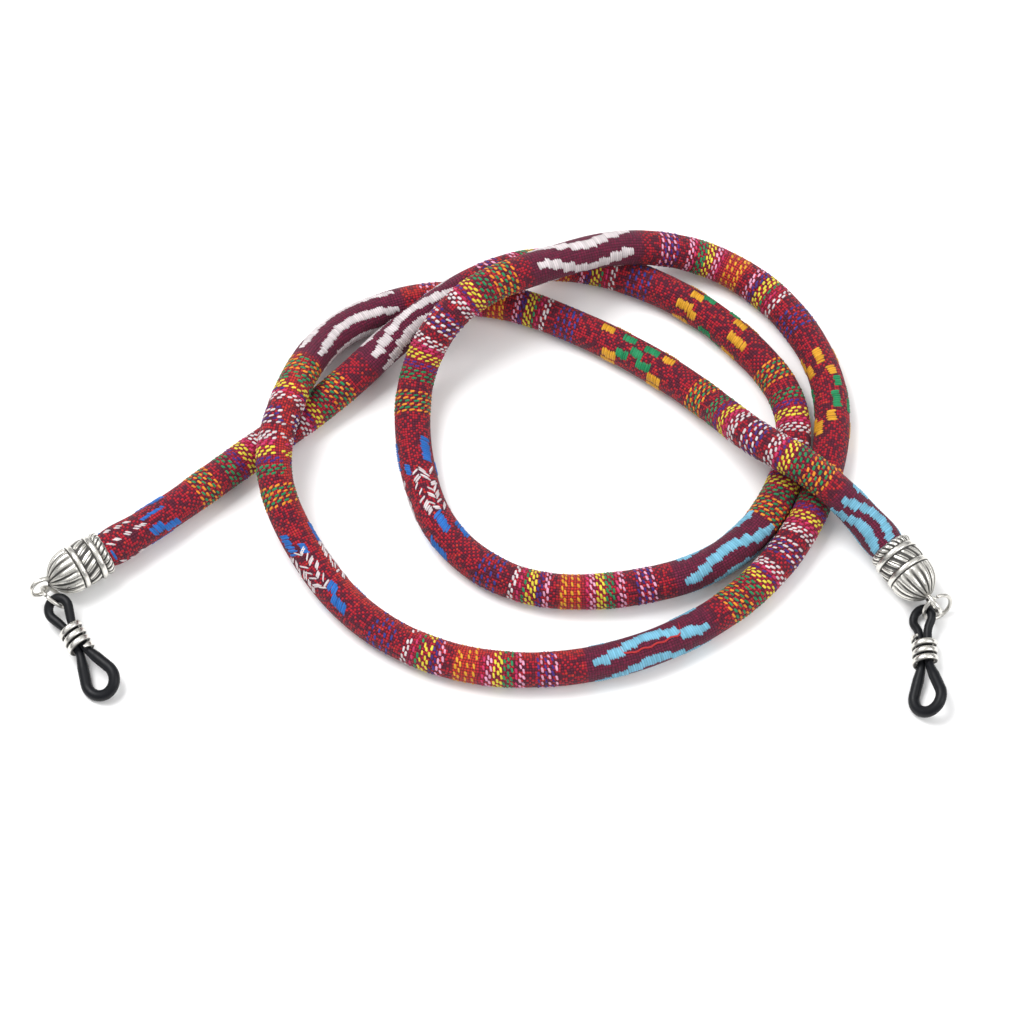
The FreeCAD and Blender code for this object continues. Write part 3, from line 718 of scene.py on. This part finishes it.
def cap_mesh():
    """The cap's detailed shape in its own frame: Z from the mouth to the tip."""
    band = 4.28
    prof = [(3.14, 6.58), (3.14, 3.3), (3.14, 0.12), (3.22, 0.0), (3.50, -0.01), (3.74, 0.08)]
    tags = [0, 0, 0, 0, 0, 0]

    def add(r, z, tag=0):
        prof.append((r, z))
        tags.append(tag)
    for z in np.linspace(0.18, 1.36, 12):
        add(3.72 + 0.34 * math.sin(math.pi * (z - 0.0) / 1.42), z, 1)       # rope edge
    add(3.66, 1.46, 4); add(3.66, 1.54, 4)
    for z in np.linspace(1.60, 2.50, 9):
        add(band - 0.13 * (abs((z - 2.05) / 0.45)) ** 3, z, 0)              # band 1
    add(3.80, 2.58, 4); add(3.80, 2.70, 4)
    for z in np.linspace(2.78, 4.92, 22):
        add(4.03 + 0.09 * math.sin(math.pi * (z - 2.78) / 2.14), z, 2)      # leaves
    add(3.80, 4.98, 4); add(3.80, 5.08, 4)
    for z in np.linspace(5.14, 5.98, 9):
        add(band - 0.13 * (abs((z - 5.56) / 0.42)) ** 3, z, 0)              # band 2
    add(3.84, 6.06, 4); add(3.86, 6.22, 4)
    cx, cz, cr = -0.91, 6.6, 5.06
    for a in np.linspace(-3, 71.4, 40):
        add(cx + cr * math.cos(math.radians(a)), cz + cr * math.sin(math.radians(a)), 3)
    add(0.45, 11.47, 0); add(0.02, 11.50, 0)
    prof = np.array(prof)
    tags = np.array(tags)
    M = 224
    th = np.linspace(0, 2 * np.pi, M, endpoint=False)
    r = prof[:, 0][:, None] + 0 * th[None]
    z = prof[:, 1][:, None] + 0 * th[None]
    # cav: painted shade in the cap's grooves and hollows, partly real patina; it darkens the silver
    cav = np.zeros_like(r)
    # rope: diagonal strands round the mouth
    t1 = (tags == 1)[:, None]
    w = np.abs(np.sin((11 * th[None] + 1.9 * z)))
    dip = (1 - w) ** 2.2
    r = np.where(t1, r - 0.36 * dip, r)
    cav = np.where(t1, np.clip(dip * 2.2 - 0.1, 0, 1), cav)
    # leaves: slanted pointed petals, two veins each
    t2 = (tags == 2)[:, None]
    w = np.abs(np.sin(7 * th[None] + 0.95 * (z - 3.85)))
    dip = (1 - w) ** 2.4
    vein = (1 - np.abs(np.sin(14 * th[None] + 1.9 * (z - 3.85) + 0.9))) ** 4 * 0.85
    ends_ = np.clip((np.abs(z - 3.85) - 0.55) / 0.55, 0, 1)
    d2 = np.clip(dip + vein + 0.35 * ends_ * (0.5 + 0.5 * np.cos(14 * th[None] + 1.9 * (z - 3.85))), 0, 1)
    r = np.where(t2, r - 0.34 * d2, r)
    cav = np.where(t2, np.clip(d2 * 2.1 - 0.12, 0, 1), cav)
    # flutes on the dome
    t3 = (tags == 3)[:, None]
    w = np.abs(np.sin(8 * th[None] + 0.06 * (z - 6.6)))
    fl = (1 - w) ** 1.4
    depth = 0.42 * np.clip((prof[:, 0] - 0.35) / 1.8, 0, 1)[:, None] * np.clip((z - 6.35) / 0.5, 0.15, 1)
    r = np.where(t3, r - depth * fl, r)
    # the flutes are painted darker as shade, and the dome gets darker towards the tip
    cav = np.where(t3, np.clip(fl * 2.1 - 0.35, 0, 1) * np.clip(0.35 + (z - 6.5) / 5, 0, 1) + 0.25 * np.clip((z - 9.5) / 2, 0, 1), cav)
    # the gaps between the bands get full painted shade
    cav = np.where((tags == 4)[:, None], 1.0, cav)
    # hand-finished unevenness
    bumpy = 0.015 * np.sin(3 * th[None] + 1.3 * z) + 0.012 * np.sin(7 * th[None] - 2.1 * z)
    r = np.where(prof[:, 0][:, None] > 3.3, r + bumpy, r)
    V = np.stack([r * np.cos(th)[None], r * np.sin(th)[None], z], -1).reshape(-1, 3)
    faces = list(grid_faces(len(prof), M, flip=False))
    # bore floor
    V = np.vstack([V, [0, 0, 6.58]])
    c = len(V) - 1
    for j in range(M):
        faces.append((j, c, (j + 1) % M))
    # painted shade on the bore floor
    cav = np.r_[cav.ravel(), 0.8]
    # cast eye, a little thicker where it grows out of the dome
    E = 96
    te = np.linspace(0, 2 * np.pi, E, endpoint=False)
    P = np.stack([0 * te, 1.95 * np.sin(te), 13.0 - 1.95 * np.cos(te)], 1)
    vv, ff = tube(P, lambda t: (0.42 + 0.14 * np.exp(-((np.minimum(t, 1 - t)) / 0.12) ** 2), 0.40 + 0.14 * np.exp(-((np.minimum(t, 1 - t)) / 0.12) ** 2)), 20, True, lambda p, tt: np.tile([1.0, 0, 0], (len(p), 1)), "eye")
    off = len(V)
    V = np.vstack([V, vv])
    faces += [tuple(np.array(f) + off) for f in ff]
    # painted shade where the eye grows out of the dome
    ecav = np.repeat(0.9 * np.exp(-((np.minimum(np.linspace(0, 1, E), 1 - np.linspace(0, 1, E))) / 0.10) ** 2), 20)
    cav = np.r_[cav, ecav]
    return V, faces, cav


SIDES = {
    "left": dict(mouth=(-72.34, -9.96, 4.4), axis=(-0.8449, -0.5349, 0.0), eye_axis=(-0.5268, 0.8321, -0.1736),
                 ring=(-81.096, -18.065, 2.715), ring_axis=(0.6251, 0.5829, 0.5192),
                 loop=(-81.458, -18.564, 3.678), loop_dir=(0.5146, -0.8529, -0.0883), loop_normal=(0.3629, 0.3099, -0.8788)),
    "right": dict(mouth=(66.99, -9.46, 4.8), axis=(0.5696, -0.8209, -0.0400), eye_axis=(0.8096, 0.5521, 0.1992),
                  ring=(75.207, -20.171, 2.947), ring_axis=(0.4465, -0.8406, 0.3065),
                  loop=(72.591, -19.318, 1.947), loop_dir=(0.0065, -0.9996, 0.0269), loop_normal=(-0.6071, 0.0174, 0.7945)),
}


def loop_points(slim):
    """Centre line of the rubber loop: round at the ring, two strands side by side in the coil, then a teardrop eye for
    the temple."""
    half = 0.80

    def side_line(neck, centre, radius, sign):
        # straight run from the neck to the tangent point of the end's circle
        dx = (centre - neck)
        far = math.hypot(dx, half)
        ang = math.atan2(-half * 1.0, dx)
        swing = math.asin(radius / far)
        direction = ang + swing
        run_ = math.sqrt(far ** 2 - radius ** 2)
        pts = [(neck + sign * run_ * q * math.cos(direction), half + run_ * q * math.sin(direction)) for q in np.linspace(0, 1, 26)]
        start = direction + math.pi / 2
        arc = [(centre * 1.0, 0.0)] * 0
        for a in np.linspace(start, 0, 34)[1:]:
            arc.append((radius * math.cos(a), radius * math.sin(a)))
        return pts, arc

    n2, c2, r2 = 11.9, 17.85, 2.80
    upper, arc = side_line(n2, c2, r2, 1)
    temple = upper + [(c2 + x, y) for x, y in arc]
    if slim:
        # the right loop lies close to its cap, so its ring end keeps a waist
        n1, c1, r1 = 6.2, 2.68, 1.90
        b1 = ((n1 - c1) ** 2 + half ** 2 - r1 ** 2) / (2 * r1 - 2 * half)
        centre = np.array([n1, half + b1])
        d = np.array([c1, 0.0]) - centre
        meet = math.atan2(d[1], d[0])
        ring_end = [(n1 + b1 * math.cos(a), half + b1 + b1 * math.sin(a)) for a in np.linspace(-math.pi / 2, meet, 20)]
        m1 = centre + d / np.linalg.norm(d) * b1
        a0 = math.atan2(m1[1], m1[0] - c1)
        ring_end += [(c1 + r1 * math.cos(a), r1 * math.sin(a)) for a in np.linspace(a0, math.pi, 34)[1:]]
    else:
        n1, c1, r1 = 6.2, 2.62, 1.98
        mirror, arc = side_line(0.0, n1 - c1, r1, 1)
        ring_end = [(n1 - x, y) for x, y in mirror] + [(c1 - x, y) for x, y in arc]
    neck = [(x, half) for x in np.linspace(n1, n2, 24)[1:-1]]
    top = ring_end[::-1] + neck + temple
    P = np.array(top + [(x, -y) for x, y in top[::-1]][1:-1])
    # soften the two necks
    d = np.r_[0, np.cumsum(np.linalg.norm(np.diff(np.vstack([P, P[:1]]), axis=0), axis=1))]
    u = np.linspace(0, d[-1], 300, endpoint=False)
    PP = np.vstack([P, P[:1]])
    out = np.stack([np.interp(u, d, PP[:, 0]), np.interp(u, d, PP[:, 1])], 1)
    for _ in range(14):
        soft = 0.25 * np.roll(out, 1, 0) + 0.5 * out + 0.25 * np.roll(out, -1, 0)
        near = (np.abs(out[:, 0] - n2) < 2.4) | (np.abs(out[:, 0] - n1) < 1.6)
        out = np.where(near[:, None], soft, out)
    return out


def rubber_material():
    m = Nodes("black_rubber")
    n1 = m.noise(1500, 4, 0.6)
    n2 = m.noise(260, 2)
    col = m.mix(n2, srgb(9, 10, 13), srgb(20, 22, 27))
    return m.done(color=col, Specular_IOR_Level=0.22, rough=m.math("ADD", 0.36, m.math("MULTIPLY", n1, 0.16)), normal=m.bump(n1, 0.18, 0.00008))


rubber = rubber_material()
cap_v, cap_f, cap_c = cap_mesh()
for side, d in SIDES.items():
    # cap
    V = place(cap_v, d["mouth"], d["axis"], d["eye_axis"])
    cap = new_mesh("end_cap_%s_cast" % side, V, cap_f, attrs={"cavity_shade_patina": cap_c})
    cap.data.materials.append(silver)
    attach(cap, "strap")
    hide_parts("end_cap_" + side)
    # jump ring
    t = np.linspace(math.radians(3.2), 2 * math.pi - math.radians(3.2), 110)
    P = np.stack([2.70 * np.cos(t), 2.70 * np.sin(t), 0.02 * np.sin(2 * t)], 1)
    vv, ff = tube(P, lambda q: (np.full(len(q), 0.355) * np.where((q < 0.004) | (q > 0.996), 0.9, 1), np.full(len(q), 0.355) * np.where((q < 0.004) | (q > 0.996), 0.9, 1)), 18, False, lambda p, tt: np.tile([0, 0, 1.0], (len(p), 1)), "ring")
    V = place(vv, d["ring"], d["ring_axis"], (0, 0, 1))
    ring_ob = new_mesh("jump_ring_%s_wire" % side, V, ff, attrs={"cavity_shade_patina": np.full(len(vv), 0.12)})
    ring_ob.data.materials.append(wire_metal)
    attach(ring_ob, "ring_" + side)
    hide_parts("jump_ring_" + side)
    # rubber loop
    x = unit(d["loop_dir"])
    nrm = np.array(d["loop_normal"])
    nrm = unit(nrm - x * (nrm @ x))
    slim = side == "right"
    loop2 = loop_points(slim)
    P3 = np.stack([loop2[:, 0], loop2[:, 1], 0 * loop2[:, 0]], 1)
    fat = 0.775 + 0.245 * np.clip((loop2[:, 0] - 11.9) / 2.2, 0, 1) + (0.0 if slim else 0.085) * np.clip((6.0 - loop2[:, 0]) / 1.5, 0, 1)
    tall = 0.775 + 0.245 * np.clip((loop2[:, 0] - 11.9) / 2.2, 0, 1)
    # the two ends of the loop are one band; they meet inside the coil
    split = 11.0
    over = P3[:, 0] > split
    first = int(np.where(over & ~np.roll(over, 1))[0][0])
    order = (np.arange(len(P3)) + first) % len(P3)
    n_eye = int(over.sum())
    halves = {"eye": order[:n_eye], "ring_end": np.r_[order[n_eye - 1:], order[:1]]}
    for part, idx in halves.items():
        vv, ff = tube(P3[idx], lambda q: (tall[idx], fat[idx]), 22, False, lambda p, tt: np.tile([0, 0, 1.0], (len(p), 1)), "rub")
        V = place(vv, d["loop"], nrm, x)
        V[:, 2] = np.maximum(V[:, 2], 0.005)
        rub = new_mesh("rubber_loop_%s_%s" % (side, part), V, ff)
        rub.data.materials.append(rubber)
        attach(rub, "loop_" + side)
        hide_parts("rubber_loop_" + side)
        if part == "eye":
            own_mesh(rub)
    # coil
    turns, pitch, mean = 3.4, 1.5, 1.98
    t = np.linspace(0, turns * 2 * math.pi, 260)
    foot = 9.1 - turns * pitch / 2
    P = np.stack([mean * np.cos(t), mean * np.sin(t), foot + pitch * t / (2 * math.pi)], 1)
    taper = lambda q: np.clip(np.minimum(q, 1 - q) / 0.03, 0.25, 1) ** 0.5
    vv, ff = tube(P, lambda q: (0.36 * taper(q), 0.57 * taper(q)), 20, False, lambda p, tt: np.stack([p[:, 0], p[:, 1], 0 * p[:, 0]], 1), "coil")
    # the wire's inner side is worn flat where it bears on the rubber
    rad = np.hypot(vv[:, 0], vv[:, 1])
    push = np.maximum(rad, 1.66) / np.maximum(rad, 1e-6)
    vv[:, 0] *= push
    vv[:, 1] *= push
    V = place(vv, d["loop"], x, nrm)
    V[:, 2] = np.maximum(V[:, 2], 0.01)
    # painted shade on the wire's sides where the coil turns face each other
    cavc = np.abs(np.sin(np.tile(np.linspace(0, 2 * np.pi, 20, endpoint=False), 260)))
    cavc = np.r_[np.clip((cavc - 0.72) * 3.6, 0, 1.0), 0.4, 0.4]
    coil = new_mesh("coil_slider_%s_spiral" % side, V, ff, attrs={"cavity_shade_patina": cavc})
    coil.data.materials.append(wire_metal)
    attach(coil, "coil_" + side)
    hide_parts("coil_slider_" + side)

# glue plugs keep their CAD shape
for side in ("left", "right"):
    m = Nodes("cured_glue_" + side)
    n1 = m.noise(700, 3)
    mat = m.done(color=m.mix(n1, srgb(206, 190, 140), srgb(228, 216, 176)), rough=m.math("ADD", 0.25, m.math("MULTIPLY", n1, 0.2)), normal=m.bump(n1, 0.3, 0.0003))
    ob = bpy.data.objects.get("cap_glue_" + side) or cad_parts["cap_glue_" + side]
    if isinstance(ob, str):
        ob = bpy.data.objects[ob]
    if ob.material_slots:
        for sl in ob.material_slots:
            sl.link = "OBJECT"
            sl.material = mat

# cord pieces
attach(cover, "strap")
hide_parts("cord_cover")
for ob in thread_pieces:
    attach(ob, "strap")
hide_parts("cord_core")

# ------------------------------------------------------------------ stage
shift_m = SHIFT * MM
el = math.radians(64)
D = 0.660
cam_data = bpy.data.cameras.new("camera")
cam_data.sensor_width = 36
cam_data.lens = 36 * (D / 0.00018) / 1024
cam = bpy.data.objects.new("camera", cam_data)
bpy.context.collection.objects.link(cam)
cam.location = (shift_m[0], shift_m[1] - D * math.cos(el), shift_m[2] + D * math.sin(el))
cam.rotation_euler = (math.radians(90) - el, 0, 0)
cam_data.clip_start = 0.01
cam_data.clip_end = 10
scene = bpy.context.scene
scene.camera = cam

bpy.ops.mesh.primitive_plane_add(size=4.0, location=(0, 0, -0.00002))
floor = bpy.context.object
floor.name = "floor"
m = Nodes("paper_white")
n1 = m.noise(30, 2)
floor.data.materials.append(m.done(color=m.mix(m.math("MULTIPLY", n1, 0.15), (0.94, 0.94, 0.94), (0.92, 0.92, 0.92)), rough=0.95, Specular_IOR_Level=0.0))
floor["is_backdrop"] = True

world = bpy.data.worlds.new("world")
scene.world = world
world.use_nodes = True
wt = world.node_tree
sep = wt.nodes.new("ShaderNodeSeparateXYZ")
wt.links.new(wt.nodes.new("ShaderNodeTexCoord").outputs["Generated"], sep.inputs[0])
sky = wt.nodes.new("ShaderNodeValToRGB")
sky.color_ramp.elements[0].position = 0.0
sky.color_ramp.elements[0].color = (0.10, 0.10, 0.11, 1)
sky.color_ramp.elements[1].position = 0.62
sky.color_ramp.elements[1].color = (1.0, 1.0, 1.0, 1)
band = sky.color_ramp.elements.new(0.35)
band.color = (0.30, 0.30, 0.31, 1)
wt.links.new(sep.outputs["Z"], sky.inputs[0])
wt.links.new(sky.outputs[0], wt.nodes["Background"].inputs[0])
wt.nodes["Background"].inputs[1].default_value = 0.86
scene.view_settings.view_transform = "Standard"


def lamp(name, loc, size, power, target=(0, 0, 0)):
    ld = bpy.data.lights.new(name, "AREA")
    ld.shape = "RECTANGLE"
    ld.size = size[0]
    ld.size_y = size[1]
    ld.energy = power
    lo = bpy.data.objects.new(name, ld)
    lo.location = loc
    lo.rotation_euler = (Vector(target) - Vector(loc)).to_track_quat("-Z", "Y").to_euler()
    bpy.context.collection.objects.link(lo)


lamp("key", (-0.35, 0.25, 0.75), (0.45, 0.45), 6.5)
lamp("fill", (0.65, -0.25, 0.55), (0.5, 0.5), 3.0)

box_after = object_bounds()
print("bounds", box_before, box_after)
try:
    out = {"cad": [[float(c) for c in p] for p in box_before], "all": [[float(c) for c in p] for p in box_after]}
except Exception:
    out = {"cad": str(box_before), "all": str(box_after)}
